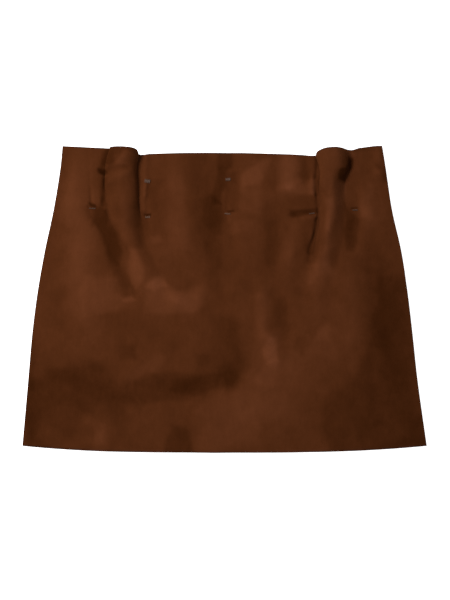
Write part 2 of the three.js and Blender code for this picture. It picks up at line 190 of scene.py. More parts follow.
# Soft folds: a ridge where the height is above 0, a trough below it. Bow bends the line to
# the left of its way, and skew makes its left flank wider than its right one.
FOLDS = (
    # x0, y0, x1, y1, bow, width, height, skew
    # Round the left roll
    (-154, 157, -145, 155, 0, 3.2, -4.4, 0),
    (-148.5, 150, -149.5, 116, 0, 3, -1.8, 0),
    (-124, 162, -144, 155, 0, 4, -1.6, 0),
    (-121, 180, -138, 164, 0, 5, 1.2, 0),
    (-124, 155, -141, 140, 0, 4.5, 0.9, 0),
    (-98.5, 178, -98, 112, 0, 3.6, 1.1, 0),
    (-158, 108, -147, 96, 0, 9, -3, 0),
    (-147, 100, -130, 58, -2, 12, -4.4, -0.2),
    (-130, 58, -114, 10, 0, 10, -3.4, -0.2),
    (-104, 112, -103, 66, 0, 8, -1.8, 0),
    (-186, 150, -176, -10, -4, 26, 2, 0),
    # Between the left roll and the middle
    (-95, 149, -96, 130, 0, 3, 1.3, 0),
    (-56, 172, -52, 62, 0, 24, 2.2, -0.3),
    (-92, 61, -42, 17, 5, 13, -1.6, 0),
    (-96, 26, -61, -2, -4, 14, 1.5, 0),
    (-61, -2, -24, 14, -5, 13, 1.3, 0),
    # The middle pleat and the fullness under it
    (3, 180, -1, 140, 0, 14, -1.8, -0.5),
    (-1, 140, -3, 70, 0, 20, -2.8, -0.6),
    (-3, 70, -6, -20, -3, 20, -1.8, -0.4),
    (-6, -20, 12, -100, 0, 20, -1.5, -0.3),
    (44, 178, 42, 110, 0, 26, 1.8, 0),
    (82, 176, 78, 140, 0, 13, 1.2, 0),
    (98, 176, 101, 143, 0, 7, -1.2, 0),
    (109, 151, 109, 130, 0, 3, 1, 0),
    (57, 108, 50, 20, 3, 12, -1.4, 0),
    # Round the right roll
    (114, 174, 115, 128, 0, 2.2, -1, 0),
    (115, 128, 114.5, 98, 0, 2, -1.2, 0),
    (114.5, 98, 107.5, 60, 0, 3.8, -4.2, 0),
    (107.5, 60, 96, 8, 3, 10, -2, 0),
    (84, 102, 115, 106, 2, 3.6, -1.9, 0),
    (98, 99, 113, 103, 0, 3.4, 0.8, 0),
    (74, 137, 110, 134, 0, 10, 0.9, 0),
    (92, 90, 78, 28, -3, 10, 1.2, 0),
    (128, 60, 102, 18, -3, 10, 1.8, 0),
    (128, 124, 129, 78, 0, 4, 0.9, 0),
    (145, 150, 155, 170, 0, 6, -3.4, 0),
    (158, 146, 160, 70, 0, 12, -2, -0.45),
    (176, 130, 179, 98, 0, 12, 2, 0),
    (150, 60, 160, -40, -4, 24, 2, 0),
    # Below the pleats, on the right
    (48, 20, 45, -44, 0, 10, 1.8, 0),
    (53, -48, 58, -76, -2, 12, 2.4, 0),
    (66, 4, 76, -42, 3, 12, -2, 0),
    (190, 60, 205, -160, 0, 26, -2, 0),
    (18, -112, 66, -160, 8, 28, 2, 0),
    # Below the pleats, on the left
    (-150, -26, -62, -58, 0, 20, -1.4, 0),
    (-122, -98, -44, -44, 5, 17, 1.6, 0),
    (-214, -84, -160, -98, 4, 16, -2, 0),
    (-160, -98, -96, -126, 4, 17, -1.8, 0),
    (-112, -104, -66, -116, -4, 13, -1.8, 0.2),
    (-72, -114, 12, -97, -4, 14, -2.4, 0.2),
    (-56, -140, -55, -195, 0, 15, -1.6, 0),
    (-150, -140, -151, -195, 0, 13, 1.1, 0),
    (-18, -140, -14, -195, 0, 16, 1.4, 0),
)
ZIP_FOLD = (190, 192, 193, 158, 0, 9, 3.4, 0)

# A fold's line is cut into spans, and its width wavers along it, each fold in its own phase
FOLD_SPANS = 8
FOLD_WOBBLE = 0.16
FOLD_WAVES = 1.6
FOLD_PHASE = 0.37

# The reach and the size of the wander that bends folds, the patches of nap and painted shade, and the
# facets
FOLD_DRIFT = (16, 1.6)
PATCH_DRIFTS = ((21, 5), (8, 2))
FACET_DRIFT = (6, 1.2)

# Unevenness, a row for each layer: its size, the width of its bumps and its seed
FRONT_LUMPS = ((0.5, 34, 3), (0.22, 13, 4))
BACK_NAP_LUMPS = ((0.45, 70, 7), (0.3, 27, 8))
LUMP_KNOTS = 64
LUMP_MARGIN = 400

# Patches of tone, partly brushed nap and partly painted light and shade of the folds and rolls: lighter
# above 0, darker below it
NAP_AND_SHADE_PATCHES = (
    # x, y, half length, half width, turn in degrees, shade
    (-183, 70, 95, 20, 92, 0.6),
    (-190, 12, 16, 14, 0, -0.25),
    (-20, 84, 10, 9, 0, 0.3),
    (139, 108, 38, 6, 88, 0.4),
    (131, 48, 28, 6, 105, 0.4),
    (109, 62, 26, 7, 82, -0.3),
    (88, 127, 20, 16, 0, 0.2),
    (34, -68, 14, 16, 0, 0.3),
    (70, -43, 8, 9, 0, 0.3),
    (75, -142, 30, 24, 0, 0.2),
    (202, -40, 40, 14, 92, -0.2),
    (238, -112, 18, 9, 80, 0.25),
    (-246, -165, 26, 8, 86, -0.4),
    (-200, -184, 50, 8, -4, -0.3),
    (205, -183, 48, 7, 4, -0.3),
    (-50, -22, 18, 14, 0, 0.2),
    (-196, -5, 34, 16, 80, -0.2),
    (-190, -40, 14, 12, 0, -0.3),
    (-197, 160, 32, 8, 90, -0.3),
    (76, 14, 40, 14, 0, 0.15),
    (18, 50, 16, 14, 0, -0.2),
    (72, -74, 16, 18, 0, 0.35),
    (14, -90, 14, 24, 0, -0.4),
    (-141, 140, 48, 11, 92, -0.5),
    (-148, 76, 44, 12, 112, -0.3),
    (-84, 14, 34, 12, -38, 0.25),
    (-50, -6, 34, 16, 10, 0.25),
    (-62, 115, 55, 12, 90, 0.15),
    (-28, 112, 30, 20, 90, -0.2),
    (-10, 55, 60, 12, 95, -0.15),
    (36, 148, 30, 16, 90, 0.2),
    (82, 150, 30, 14, 90, 0.3),
    (56, 80, 36, 9, 95, -0.1),
    (119, 120, 48, 4, 90, -0.3),
    (155, 98, 26, 9, 90, -0.2),
    (186, 108, 40, 14, 95, 0.3),
    (142, 6, 20, 9, 100, -0.3),
    (57, -62, 22, 9, 98, 0.3),
    (8, -55, 44, 16, 92, -0.35),
    (62, -118, 70, 32, 35, 0.35),
    (150, -10, 80, 30, 95, 0.15),
    (214, -45, 130, 20, 98, -0.5),
    (184, -130, 60, 36, 70, -0.2),
    (-200, -112, 44, 20, -8, -0.3),
    (-150, -122, 44, 18, -10, -0.25),
    (-56, -112, 38, 10, 10, -0.3),
    (4, -100, 16, 12, 0, -0.1),
    (4, -38, 20, 12, 90, -0.25),
    (-236, -130, 60, 12, 86, -0.35),
    (-205, -140, 60, 34, 0, -0.25),
    (-8, -160, 26, 18, 60, 0.2),
)

PATCH_POWER = 1.3

# Flat-toned facets of the creased cloth, mostly painted light and shade of its creases, rolls
# and hollows with some brushed nap: a shade, the softness of the border, then the corners
SHADE_AND_NAP_FACETS = (
    # Left roll and the wedge under it
    (-0.75, 3, (-143, 190), (-112, 190), (-107, 180), (-121, 182), (-138, 165), (-152, 165), (-149, 186)),
    (-0.15, 4, (-120, 182), (-108, 180), (-105, 165), (-106, 112), (-111, 112), (-112, 160), (-118, 168)),
    (0.25, 3, (-138, 165), (-122, 181), (-121, 164)),
    (-1, 2, (-156, 161), (-146, 161), (-143, 156), (-148, 152), (-155, 155)),
    (-0.9, 1.5, (-168, 118), (-161, 117), (-160, 113.6), (-167, 113.6)),
    (-0.4, 3, (-153, 150), (-145, 150), (-143, 116), (-153, 113)),
    (-0.35, 4, (-109, 112), (-98, 110), (-93, 95), (-96, 78), (-103, 62), (-108, 72), (-110, 90)),
    # Painted shade in the wedge of the crease under the left roll
    (-0.7, 4, (-168, 117), (-145, 112), (-142, 94), (-130, 80), (-127, 60), (-129, 41), (-140, 48),
     (-150, 68), (-156, 88)),
    (-0.35, 4, (-140, 46), (-129, 42), (-121, 32), (-115, 18), (-120, 12), (-129, 14), (-140, 32)),
    (0.7, 2.5, (-124, -2), (-113, 5), (-111, -2), (-121, -5)),
    (0.6, 4, (-119, 62), (-108, 58), (-102, 48), (-101, 25), (-108, 12), (-116, 20), (-119, 40)),
    (0.35, 4, (-172, 30), (-128, 28), (-126, 6), (-108, -2), (-130, -14), (-176, -24), (-180, 0)),
    (0.25, 3, (-162, 24), (-142, 28), (-136, 10), (-121, -2), (-128, -12), (-140, -14), (-158, -22),
     (-166, -6)),
    # Between the left roll and the middle
    (-0.9, 1.3, (-97, 105.6), (-91, 105.6), (-91, 103.4), (-97, 103.4)),
    (-0.2, 3, (-92, 150), (-76, 148), (-80, 138), (-84, 108), (-92, 106)),
    (0.4, 3, (-92, 78), (-80, 79), (-79, 71), (-90, 69)),
    (0.2, 4, (-72, 150), (-51, 152), (-49, 100), (-41, 80), (-41, 62), (-66, 60), (-72, 90)),
    (-0.15, 3, (-49, 178), (-14, 176), (-10, 150), (-20, 130), (-47, 130)),
    (0.3, 5, (-97, 20), (-86, 28), (-60, 10), (-36, 14), (-26, 14), (-26, 0), (-40, -16), (-76, -20),
     (-100, -6)),
    (0.6, 3, (-96, 14), (-94, 20), (-84, 27), (-77, 26), (-69, 15), (-86, 10)),
    (0.25, 3, (-96, 9), (-74, 11), (-60, 12), (-30, 3), (-27, -8), (-36, -15), (-60, -18), (-100, -16)),
    # The middle pleat and its fullness
    (-0.6, 3, (-9, 182), (9, 182), (9, 164), (1, 158), (-1, 140), (-3, 118), (-15, 118), (-13, 140),
     (-8, 162)),
    (-0.35, 3, (-28, 122), (-15, 128), (-3, 118), (-2, 98), (-4, 80), (-14, 78), (-20, 84), (-28, 100)),
    (-0.7, 1.5, (2, 110.4), (13, 110.4), (13, 107.4), (6, 107.4)),
    (-0.25, 4, (-48, 122), (-18, 130), (-2, 120), (-1, 108), (-3, 82), (-20, 76), (-30, 82), (-40, 100)),
    (-0.2, 3, (-8, 164), (4, 164), (4, 134), (-6, 132)),
    (-0.25, 4, (-32, 82), (-12, 80), (-2, 62), (-2, 40), (-20, 30), (-24, 58)),
    (-0.35, 3, (0, 158), (16, 158), (18, 108), (8, 106), (0, 110)),
    (0.25, 4, (20, 150), (42, 166), (48, 150), (44, 106), (20, 106)),
    (0.45, 3, (22, 154), (40, 166), (50, 176), (60, 174), (50, 158), (43, 140), (22, 140)),
    (0.3, 3, (4, 86), (12, 97), (34, 98), (30, 84), (8, 80)),
    (-0.3, 4, (50, 100), (68, 98), (68, 60), (62, 42), (50, 42)),
    # Round the right roll
    (0.25, 4, (72, 178), (92, 176), (92, 150), (111, 147), (110, 130), (82, 128), (72, 140)),
    (0.4, 4, (67, 176), (87, 176), (86, 134), (66, 134)),
    (-0.15, 4, (96, 176), (108, 174), (108, 150), (98, 144)),
    (0.25, 3, (84, 146), (112, 149), (112, 132), (92, 128), (74, 130), (74, 140)),
    (-0.2, 4, (80, 120), (96, 129), (113, 129), (113, 112), (84, 112)),
    (-0.65, 2, (80, 110), (100, 112.5), (114, 112), (114, 106), (104, 106), (84, 101)),
    (0.5, 2, (107.5, 150), (112.5, 150), (112.5, 130), (107.5, 130)),
    (0.25, 5, (72, 70), (84, 92), (88, 70), (80, 45), (70, 40)),
    (-0.3, 4, (98, 82), (104, 84), (102, 60), (108, 46), (98, 44)),
    (0.15, 2, (117, 146), (137, 146), (137, 62), (124, 60)),
    # Painted highlight along the right roll's crest
    (0.6, 3, (125, 122), (134, 124), (135, 96), (131, 80), (125, 84)),
    # Painted shadow in the hollow beside the right roll
    (-1.3, 2, (153, 174), (157.5, 173), (157, 163), (151, 153), (148, 146), (139, 146.5), (139, 153),
     (143, 161), (149, 163)),
    (0.5, 3, (147, 187), (160, 185), (160, 177), (149, 177)),
    (0.3, 3, (137, 143), (149, 143), (147, 116), (137, 116)),
    (-1, 1.2, (157.5, 113.4), (165.5, 113.4), (165.5, 111.6), (157.5, 111.6)),
    (0.2, 3, (137, 145), (149, 145), (149, 123), (143, 120), (137, 116)),
    (-0.5, 3, (149, 120), (158, 107), (165, 98), (165, 72), (158, 60), (149, 60)),
    (-0.3, 1.5, (160, 187), (186, 191), (184, 184), (160, 181)),
    (-0.2, 4, (147, 98), (158, 98), (158, 84), (144, 84)),
    (0.4, 4, (169, 124), (180, 128), (182, 100), (167, 100)),
    (0.2, 4, (174, 146), (186, 140), (186, 128), (178, 126)),
    (-0.45, 3, (186, 169), (200, 163), (201, 146), (196, 144)),
    (0.25, 5, (100, 46), (128, 45), (124, 18), (102, 14)),
    (0.35, 4, (103, 34), (112, 36), (112, 20), (101, 18)),
    (0.25, 4, (110, 44), (128, 46), (130, 32), (112, 27)),
    # Below, on the right
    (-0.3, 4, (60, 2), (76, 0), (78, -34), (62, -34)),
    (-0.1, 4, (70, -36), (80, -40), (82, -64), (68, -66)),
    (0.2, 4, (38, 8), (52, 8), (52, -44), (40, -44)),
    (0.8, 3, (56, -46), (64, -48), (66, -60), (65, -76), (52, -79), (47, -71), (47, -60)),
    (0.35, 4, (48, -77), (66, -76), (65, -92), (61, -108), (42, -106), (36, -99), (45, -89)),
    (0.15, 5, (22, -92), (44, -84), (66, -78), (84, -74), (82, -110), (76, -140), (54, -150), (28, -160),
     (8, -140), (10, -112)),
    (0.25, 5, (112, -40), (126, -30), (140, -40), (138, -76), (104, -66)),
    (0.4, 4, (118, -34), (128, -32), (130, -52), (108, -52)),
    (-0.3, 4, (100, -46), (88, -44), (84, -62), (98, -70)),
    (-0.3, 5, (173, 38), (198, 38), (200, -58), (176, -62), (173, -30)),
    (-0.12, 8, (152, -94), (176, -68), (200, -60), (216, -140), (213, -182), (135, -187), (122, -160),
     (120, -128)),
    (-0.35, 6, (190, 30), (232, 26), (255, -195), (128, -195), (120, -160), (120, -136), (132, -116),
     (160, -100), (178, -60)),
    (-0.2, 6, (212, -138), (248, -138), (255, -195), (218, -195)),
    # Below, on the left
    (-0.2, 8, (-243, -95), (-205, -100), (-180, -118), (-168, -135), (-176, -155), (-205, -192),
     (-254, -192)),
    (-0.15, 5, (-165, -128), (-122, -130), (-118, -150), (-140, -160), (-160, -146)),
    (-0.15, 7, (-14, -20), (14, -20), (22, -60), (22, -90), (12, -112), (-6, -108), (-14, -90), (-16, -60)),
    (-0.4, 6, (-218, -88), (-178, -80), (-140, -72), (-118, -110), (-104, -130), (-160, -128),
     (-190, -106), (-216, -100)),
    (-0.4, 3, (-112, -102), (-94, -90), (-2, -93), (-8, -110), (-46, -124), (-70, -126),
     (-100, -130), (-112, -118)),
    (-0.25, 4, (-60, -98), (-26, -96), (-30, -110), (-52, -118), (-68, -114)),
    (0.3, 5, (-124, -104), (-106, -84), (-84, -66), (-70, -72), (-84, -90), (-108, -104)),
    (-0.4, 4, (-134, -58), (-110, -56), (-108, -74), (-126, -76)),
    (-0.4, 4, (-36, -68), (-20, -68), (-20, -82), (-34, -82)),
    (-0.5, 4, (-66, -156), (-46, -156), (-36, -195), (-78, -195)),
    (0.35, 4, (-155, -152), (-147, -152), (-144, -180), (-162, -182)),
    (0.25, 3, (-176, -142), (-166, -142), (-164, -156), (-174, -156)),
    (-0.4, 3, (-241, -50), (-233, -50), (-236, -112), (-248, -112)),
    (0.25, 6, (-40, -140), (-14, -118), (0, -112), (40, -115), (44, -180), (-36, -190)),
)

# Grid of the front: columns in each bay, and the gap between rows by the distance down
BAY_COLUMNS = (26, 18, 44, 10, 42, 46, 40, 12, 26)
ROW_GAPS = table(
    "down gap",
    (0, 1.6),
    (60, 1.6),
    (70, 1.1),
    (86, 1.1),
    (95, 1.7),
    (150, 2.1),
    (LENGTH, 3.4),
)
COLUMN_CROWDING = 0.6

# How many times the height is smoothed to tell crests and narrow clefts from their surroundings.
# The suede is painted darker in these hollows and lighter on the ridges, as painted shade, with
# some rubbed nap on the crests
CREST_BLURS = 160
CLEFT_BLURS = 10

# Back piece, whose creases rise in full where the front leaves them the room
BACK_WAIST_CORNER = 188.6
BACK_WAIST_DIP = 13.6
BACK_WAIST_POWER = 4
BACK_COLUMNS = 120
BACK_ROWS = 90
BACK_ROOM = 1.5
BACK_NAP_ON_CREASES = 0.5
BACK_CREASES = (
    # x0, y0, x1, y1, bow, width, height, skew
    (-128, 150, -100, 40, 6, 15, 0.9, 0.2),
    (-96, 60, -20, -20, -8, 20, 0.9, 0),
    (-58, 140, -48, 60, 3, 13, 0.6, 0),
    (36, 150, 58, 20, 6, 17, 0.8, -0.2),
    (128, 120, 96, -10, -6, 15, 0.9, 0),
    (80, -20, 62, -90, 5, 12, 0.7, 0),
    (-170, -50, -60, -84, 6, 18, 0.8, 0),
    (20, -96, 130, -70, -7, 17, 0.8, 0.2),
    (-30, -120, 70, -146, 5, 16, 0.6, 0),
)
BACK_CREASE_PHASE = 0.29

# Concealed zip
ZIP_TAPE_THICK = 0.5
ZIP_BOTTOM_Y = 40
ZIP_LIFT_REACH = 12
ZIP_LIFT_FADE = 18
ZIP_LIFT_START = 16

# Sewing: the bar tacks of the pleats, then the stitches of the side seams
TACKS = (
    # x, y, length, high, turn in degrees, depth of the dimple over it, share of the lit thread colour,
    # low where the tack is in painted shade
    (-163.4, 112.2, 8, 1.3, -2, 2.2, 0.4),
    (-94.8, 101.4, 6, 2.6, 4, 1.8, 0.85),
    (-95.2, 145.6, 7, 4.6, -8, 0, 0.65),
    (3.8, 105.6, 7.5, 1.8, -6, 1, 0.85),
    (4.4, 148, 6, 4, 4, 0, 0.6),
    (108, 106, 7, 1.3, 8, 0, 0.3),
    (161.4, 110.2, 6.4, 1.5, 0, 2.4, 0.3),
)
TACK_PITCH = 0.46
TACK_POINTS = 7
TACK_SLANT = 0.18
TACK_SEAT = 0.1
TACK_RISE = 0.55
TACK_THREAD = 0.21
DIMPLE_ABOVE = 1.1
DIMPLE_WIDTH = 1.5
SEAM_PITCH = 3.4
SEAM_INSET = 0.75
SEAM_ENDS = 6
SEAM_STEPS = (-1, -0.4, 0.4, 1)
SEAM_HALF_LENGTH = 0.5
SEAM_HALF_HEIGHT = 0.7
SEAM_THREAD = 0.16
SEAM_LIT_SHARE = 0.5

# A strand's sides, its ends in shares of its radius, and a direction that no strand follows
STRAND_SIDES = 6
STRAND_END_REACH = 0.7
STRAND_END_RADIUS = 0.45
OFF_STRAND = (0.3, 0.2, 0.93)

# Colours of the finishes: stops along a ramp, each with its place, and single colours
SUEDE_STOPS = (
    (0, (0.019, 0.0049, 0.0011)),
    (0.25, (0.0385, 0.0104, 0.0028)),
    (0.5, (0.067, 0.0189, 0.0059)),
    (0.75, (0.098, 0.029, 0.0105)),
    (1, (0.14, 0.0437, 0.0182)),
)
# The cut edge's dark colour is partly the raw cut leather and partly painted shade where the edge rounds
# away
CUT_EDGE_STOPS = ((0.42, (0.02, 0.007, 0.0045)), (0.6, (0.058, 0.0205, 0.0145)))
CUT_EDGE_SHARE = 0.9
WRONG_SIDE = (0.05, 0.0165, 0.0068)
WRONG_SIDE_SHARE = 0.75
# Thread colour lit and in painted shade, the darker one for tacks sunk in the folds' shade
LIT_THREAD_STOPS = ((0.3, (0.075, 0.03, 0.014)), (0.7, (0.135, 0.058, 0.029)))
SHADED_THREAD_STOPS = ((0.3, (0.03, 0.0105, 0.0045)), (0.7, (0.05, 0.018, 0.008)))
TAPE_STOPS = ((0.2, (0.03, 0.0105, 0.0045)), (0.8, (0.06, 0.022, 0.01)))
METAL_STOPS = ((0.35, (0.075, 0.036, 0.019)), (0.7, (0.115, 0.06, 0.034)))

# The photograph's frame and the camera over the laid skirt
PHOTO_HIGH = 600
PHOTO_CENTRE = (225, 300)
SKIRT_CENTRE = (224.5, 299.15)
MM_PER_PIXEL = 1.2364
LENS = 85
SENSOR = 36

# The white surface, the world and the lamp at the upper left, in metres and watts
FLOOR_SIZE = 6
WORLD_STRENGTH = 0.4
LAMP_PLACE = (-1.15, 0.5, 1.45)
LAMP_SIZE = 0.8
LAMP_POWER = 37


def smooth(t):
    s = np.clip(t, 0, 1)
    return s * s * (3 - 2 * s)


def mix(a, b, t):
    return a + (b - a) * t


def unit(vectors):
    return vectors / np.linalg.norm(vectors, axis=-1, keepdims=True)


def along(rows, key, column, at):
    """A smooth curve through a column of a table, whose rows are in the order of their key."""
    keys = rows[key]
    values = rows[column]
    if keys[-1] < keys[0]:
        keys = keys[::-1]
        values = values[::-1]
    at = np.clip(at, keys[0], keys[-1])
    i = np.clip(np.searchsorted(keys, at, side="right") - 1, 0, len(keys) - 2)
    before = np.maximum(i - 1, 0)
    after = np.minimum(i + 2, len(keys) - 1)
    span = keys[i + 1] - keys[i]
    t = (at - keys[i]) / span
    leave = (values[i + 1] - values[before]) / (keys[i + 1] - keys[before]) * span
    arrive = (values[after] - values[i]) / (keys[after] - keys[i]) * span
    t2 = t * t
    t3 = t2 * t
    return (
        (2 * t3 - 3 * t2 + 1) * values[i]
        + (t3 - 2 * t2 + t) * leave
        + (3 * t2 - 2 * t3) * values[i + 1]
        + (t3 - t2) * arrive
    )


def side_x(side, y):
    return along(SIDE_LINE, "y", side, y)


def roll_point(rows, down, turn):
    """A roll's section from its left foot, turn 0, to its right foot, turn 1."""
    height = np.maximum(along(rows, "down", "height", down), 0)
    full = smooth((height - ROLL_LOW) / (ROLL_FULL - ROLL_LOW))
    full = full * (1 - np.where(turn > 0.5, along(rows, "down", "slump", down), 0))
    swell = np.sin(np.pi * turn)
    pinch = ROLL_PINCH * full * (1 - swell) ** 2
    across = mix(2 * turn - 1, -np.cos(np.pi * turn), full)
    lift = height * swell ** mix(ROLL_LOW_POWER, ROLL_FULL_POWER, full)
    half = along(rows, "down", "width", down) / 2
    lean = along(rows, "down", "lean", down)
    x = along(rows, "down", "centre", down) + across * (1 - pinch) * half + lean * lift
    return x, lift


def bow_line(fold):
    """Points along a fold's bowed line."""
    x0, y0, x1, y1, bow = fold[:5]
    start = np.array((x0, y0), float)
    end = np.array((x1, y1), float)
    way = end - start
    side = np.array((-way[1], way[0])) / np.hypot(*way)
    t = np.linspace(0, 1, FOLD_SPANS + 1)[:, None]
    return start + way * t + side * (4 * bow) * t * (1 - t)


def fold_height(fold, x, y, phase=0.0):
    """Height that one fold adds at each point."""
    width, height, skew = fold[5:]
    points = bow_line(fold)
    best = np.full(x.shape, np.inf)
    part = np.zeros(x.shape)
    turned = np.zeros(x.shape)
    for i in range(FOLD_SPANS):
        ax, ay = points[i]
        dx, dy = points[i + 1] - points[i]
        t = np.clip(((x - ax) * dx + (y - ay) * dy) / (dx * dx + dy * dy), 0, 1)
        off = np.hypot(x - ax - t * dx, y - ay - t * dy)
        nearer = off < best
        best = np.where(nearer, off, best)
        part = np.where(nearer, (i + t) / FOLD_SPANS, part)
        turned = np.where(nearer, dx * (y - ay) - dy * (x - ax), turned)
    wobble = 1 + FOLD_WOBBLE * np.sin(2 * np.pi * (FOLD_WAVES * part + phase))
    flank = width * wobble * (1 + skew * np.tanh(turned / width**2))
    return height * (2 - wobble) * np.exp(-((best / flank) ** 2))


def drift(x, y, reach, size):
    """A slow sideways wander, so that lines and patches aren't drawn with a ruler."""
    dx = np.sin(y / reach + 1.7 * np.sin(x / (1.9 * reach)))
    dy = np.sin(x / (1.3 * reach) + 1.3 * np.sin(y / (2.1 * reach)) + 1)
    return x + size * dx, y + size * dy


def lumps(x, y, cell, seed):
    """Smooth seeded unevenness between -1 and 1, with bumps about a cell across."""
    knots = np.random.default_rng(seed).uniform(-1, 1, (LUMP_KNOTS, LUMP_KNOTS))
    u = (x + LUMP_MARGIN) / cell
    v = (y + LUMP_MARGIN) / cell
    i = np.floor(u).astype(int)
    j = np.floor(v).astype(int)
    west = i % LUMP_KNOTS
    east = (i + 1) % LUMP_KNOTS
    south = j % LUMP_KNOTS
    north = (j + 1) % LUMP_KNOTS
    s = smooth(u - i)
    low = mix(knots[south, west], knots[south, east], s)
    high = mix(knots[north, west], knots[north, east], s)
    return mix(low, high, smooth(v - j))


def uneven(x, y, layers):
    """Layers of lumps, added up."""
    return sum(size * lumps(x, y, cell, seed) for size, cell, seed in layers)


def facet_share(corners, x, y, soft):
    """1 inside a facet and 0 outside it, with a soft border."""
    nearest = np.full(x.shape, np.inf)
    inside = np.zeros(x.shape, bool)
    for (ax, ay), (bx, by) in zip(corners, corners[1:] + corners[:1]):
        dx = bx - ax
        dy = by - ay
        t = np.clip(((x - ax) * dx + (y - ay) * dy) / (dx * dx + dy * dy), 0, 1)
        nearest = np.minimum(nearest, np.hypot(x - ax - t * dx, y - ay - t * dy))
        if dy:
            inside ^= ((ay > y) != (by > y)) & (x < ax + (y - ay) * dx / dy)
    return smooth(0.5 + np.where(inside, nearest, -nearest) / (2 * soft))


def nap_and_painted_shade(x, y):
    """Tone at each point: brushed nap, with painted light and shade of the folds, rolls and hollows."""
    shade = np.zeros(x.shape)
    px, py = x, y
    for wander in PATCH_DRIFTS:
        px, py = drift(px, py, *wander)
    for cx, cy, long, wide, turn, amount in NAP_AND_SHADE_PATCHES:
        a = math.radians(turn)
        u = ((px - cx) * math.cos(a) + (py - cy) * math.sin(a)) / long
        v = ((py - cy) * math.cos(a) - (px - cx) * math.sin(a)) / wide
        shade = shade + amount * np.exp(-((u * u + v * v) ** PATCH_POWER))
    px, py = drift(x, y, *FACET_DRIFT)
    for amount, soft, *corners in SHADE_AND_NAP_FACETS:
        shade = shade + amount * facet_share(corners, px, py, soft)
    return shade


def pleat_height(x, down):
    """Height that the sewn pleats add, mostly below 0."""
    total = np.zeros(x.shape)
    for pleat in PLEATS:
        off = x - along(PLEAT_LINES, "down", pleat["line"], down)
        held = 1 - smooth((down - pleat["tack"]) / PLEAT_RELEASE)
        held = held * mix(PLEAT_AT_WAIST, 1, smooth(down / pleat["tack"]) ** PLEAT_DEEPENS)
        groove = pleat["groove"] * np.exp(-((off / PLEAT_HALF_WIDTH) ** 2))
        lap = np.tanh(off / PLEAT_EDGE) * np.exp(-np.abs(off) / PLEAT_STEP_REACH)
        total += held * (pleat["step"] * lap - groove)
    return total


def zip_lift(y, from_right):
    """How far the zip's tape lifts the front beside the right seam."""
    beside = 1 - smooth((from_right - ZIP_LIFT_REACH) / ZIP_LIFT_FADE)
    above = smooth((y - ZIP_BOTTOM_Y + ZIP_LIFT_FADE) / ZIP_LIFT_START)
    return (ZIP_TAPE_THICK + SEAM_GAP) * beside * above


def front_height(x, y, down):
    """Height of the front's upper face over the surface, apart from the rolls."""
    from_right = side_x("right", y) - x
    inward = np.minimum(x - side_x("left", y), from_right)
    near_hem = (down - LENGTH + PILLOW_HEM_REACH) / PILLOW_HEM_REACH
    pillow = PILLOW * mix(PILLOW_AT_WAIST, 1, smooth(down / PILLOW_WAIST_REACH))
    pillow = pillow * mix(1, PILLOW_AT_HEM, smooth(near_hem))
    loose = pillow * smooth(inward / PILLOW_REACH)
    calm = smooth(inward / FOLD_FADE)
    folded_x, folded_y = drift(x, y, *FOLD_DRIFT)
    for i, fold in enumerate(FOLDS):
        loose = loose + calm * fold_height(fold, folded_x, folded_y, FOLD_PHASE * i)
    loose = loose + calm * uneven(x, y, FRONT_LUMPS)
    for tack_x, tack_y, length, high, _, dimple, _ in TACKS:
        dimple_y = tack_y + high / 2 + DIMPLE_ABOVE
        ends = (tack_x - length / 2, dimple_y, tack_x + length / 2, dimple_y)
        loose = loose + fold_height((*ends, 0, DIMPLE_WIDTH, -dimple, 0), x, y)
    loose = loose + fold_height(ZIP_FOLD, x, y) + pleat_height(x, down)
    return FRONT_SEAT + zip_lift(y, from_right) + (loose + np.hypot(loose, SOFT_FLOOR)) / 2


def hem_y(share):
    """The hem's curve, by the share of the way from its left corner to its right one."""
    return HEM_CORNER_Y - HEM_DROP * (1 - np.abs(2 * share - 1) ** HEM_POWER)


def bay_lines(down):
    """Side edges, pleat lines and the feet of the rolls, from left to right."""
    y = WAIST_CORNER_Y - down

    def pleat(line):
        return along(PLEAT_LINES, "down", line, down)

    return np.stack(
        (
            side_x("left", y),
            pleat("outer_left"),
            roll_point(LEFT_ROLL, down, 0.0)[0],
            roll_point(LEFT_ROLL, down, 1.0)[0],
            pleat("inner_left"),
            pleat("centre"),
            roll_point(RIGHT_ROLL, down, 0.0)[0],
            roll_point(RIGHT_ROLL, down, 1.0)[0],
            pleat("outer_right"),
            side_x("right", y),
        )
    )


def row_downs():
    """The distance of each row of the front down from the waist."""
    downs = [0.0]
    while downs[-1] < LENGTH:
        downs.append(downs[-1] + float(np.interp(downs[-1], ROW_GAPS["down"], ROW_GAPS["gap"])))
    return np.array(downs) * LENGTH / downs[-1]


def front_grid():
    """Points of the front's upper face, in rows down from the waist."""
    bays = [0]
    turns = [0.0]
    for bay, count in enumerate(BAY_COLUMNS):
        even = np.arange(1, count + 1) / count
        bays += [bay] * count
        turns += list(even - COLUMN_CROWDING * np.sin(2 * np.pi * even) / (2 * np.pi))
    bays = np.array(bays)[None, :]
    turns = np.array(turns)[None, :]
    down = row_downs()[:, None]
    lines = bay_lines(down)[:, :, 0].T
    bay_of = bays.repeat(len(down), 0)
    x = mix(np.take_along_axis(lines, bay_of, 1), np.take_along_axis(lines, bay_of + 1, 1), turns)
    share = (x - lines[:, :1]) / (lines[:, -1:] - lines[:, :1])
    y = mix(along(WAIST_LINE, "bay", "y", bays + turns), hem_y(share), down / LENGTH)
    z = front_height(x, y, np.broadcast_to(down, x.shape))
    for bay, rows in ROLL_BAYS.items():
        roll_x, lift = roll_point(rows, down, turns)
        inside = bays == bay
        x = np.where(inside, roll_x, x)
        z = z + np.where(inside, lift, 0)
    return np.stack((x, y, z), -1)


def grid_normals(grid):
    """Mean upward normals of a grid whose rows run toward -Y and columns toward +X."""
    return unit(np.cross(np.gradient(grid, axis=0), np.gradient(grid, axis=1)))


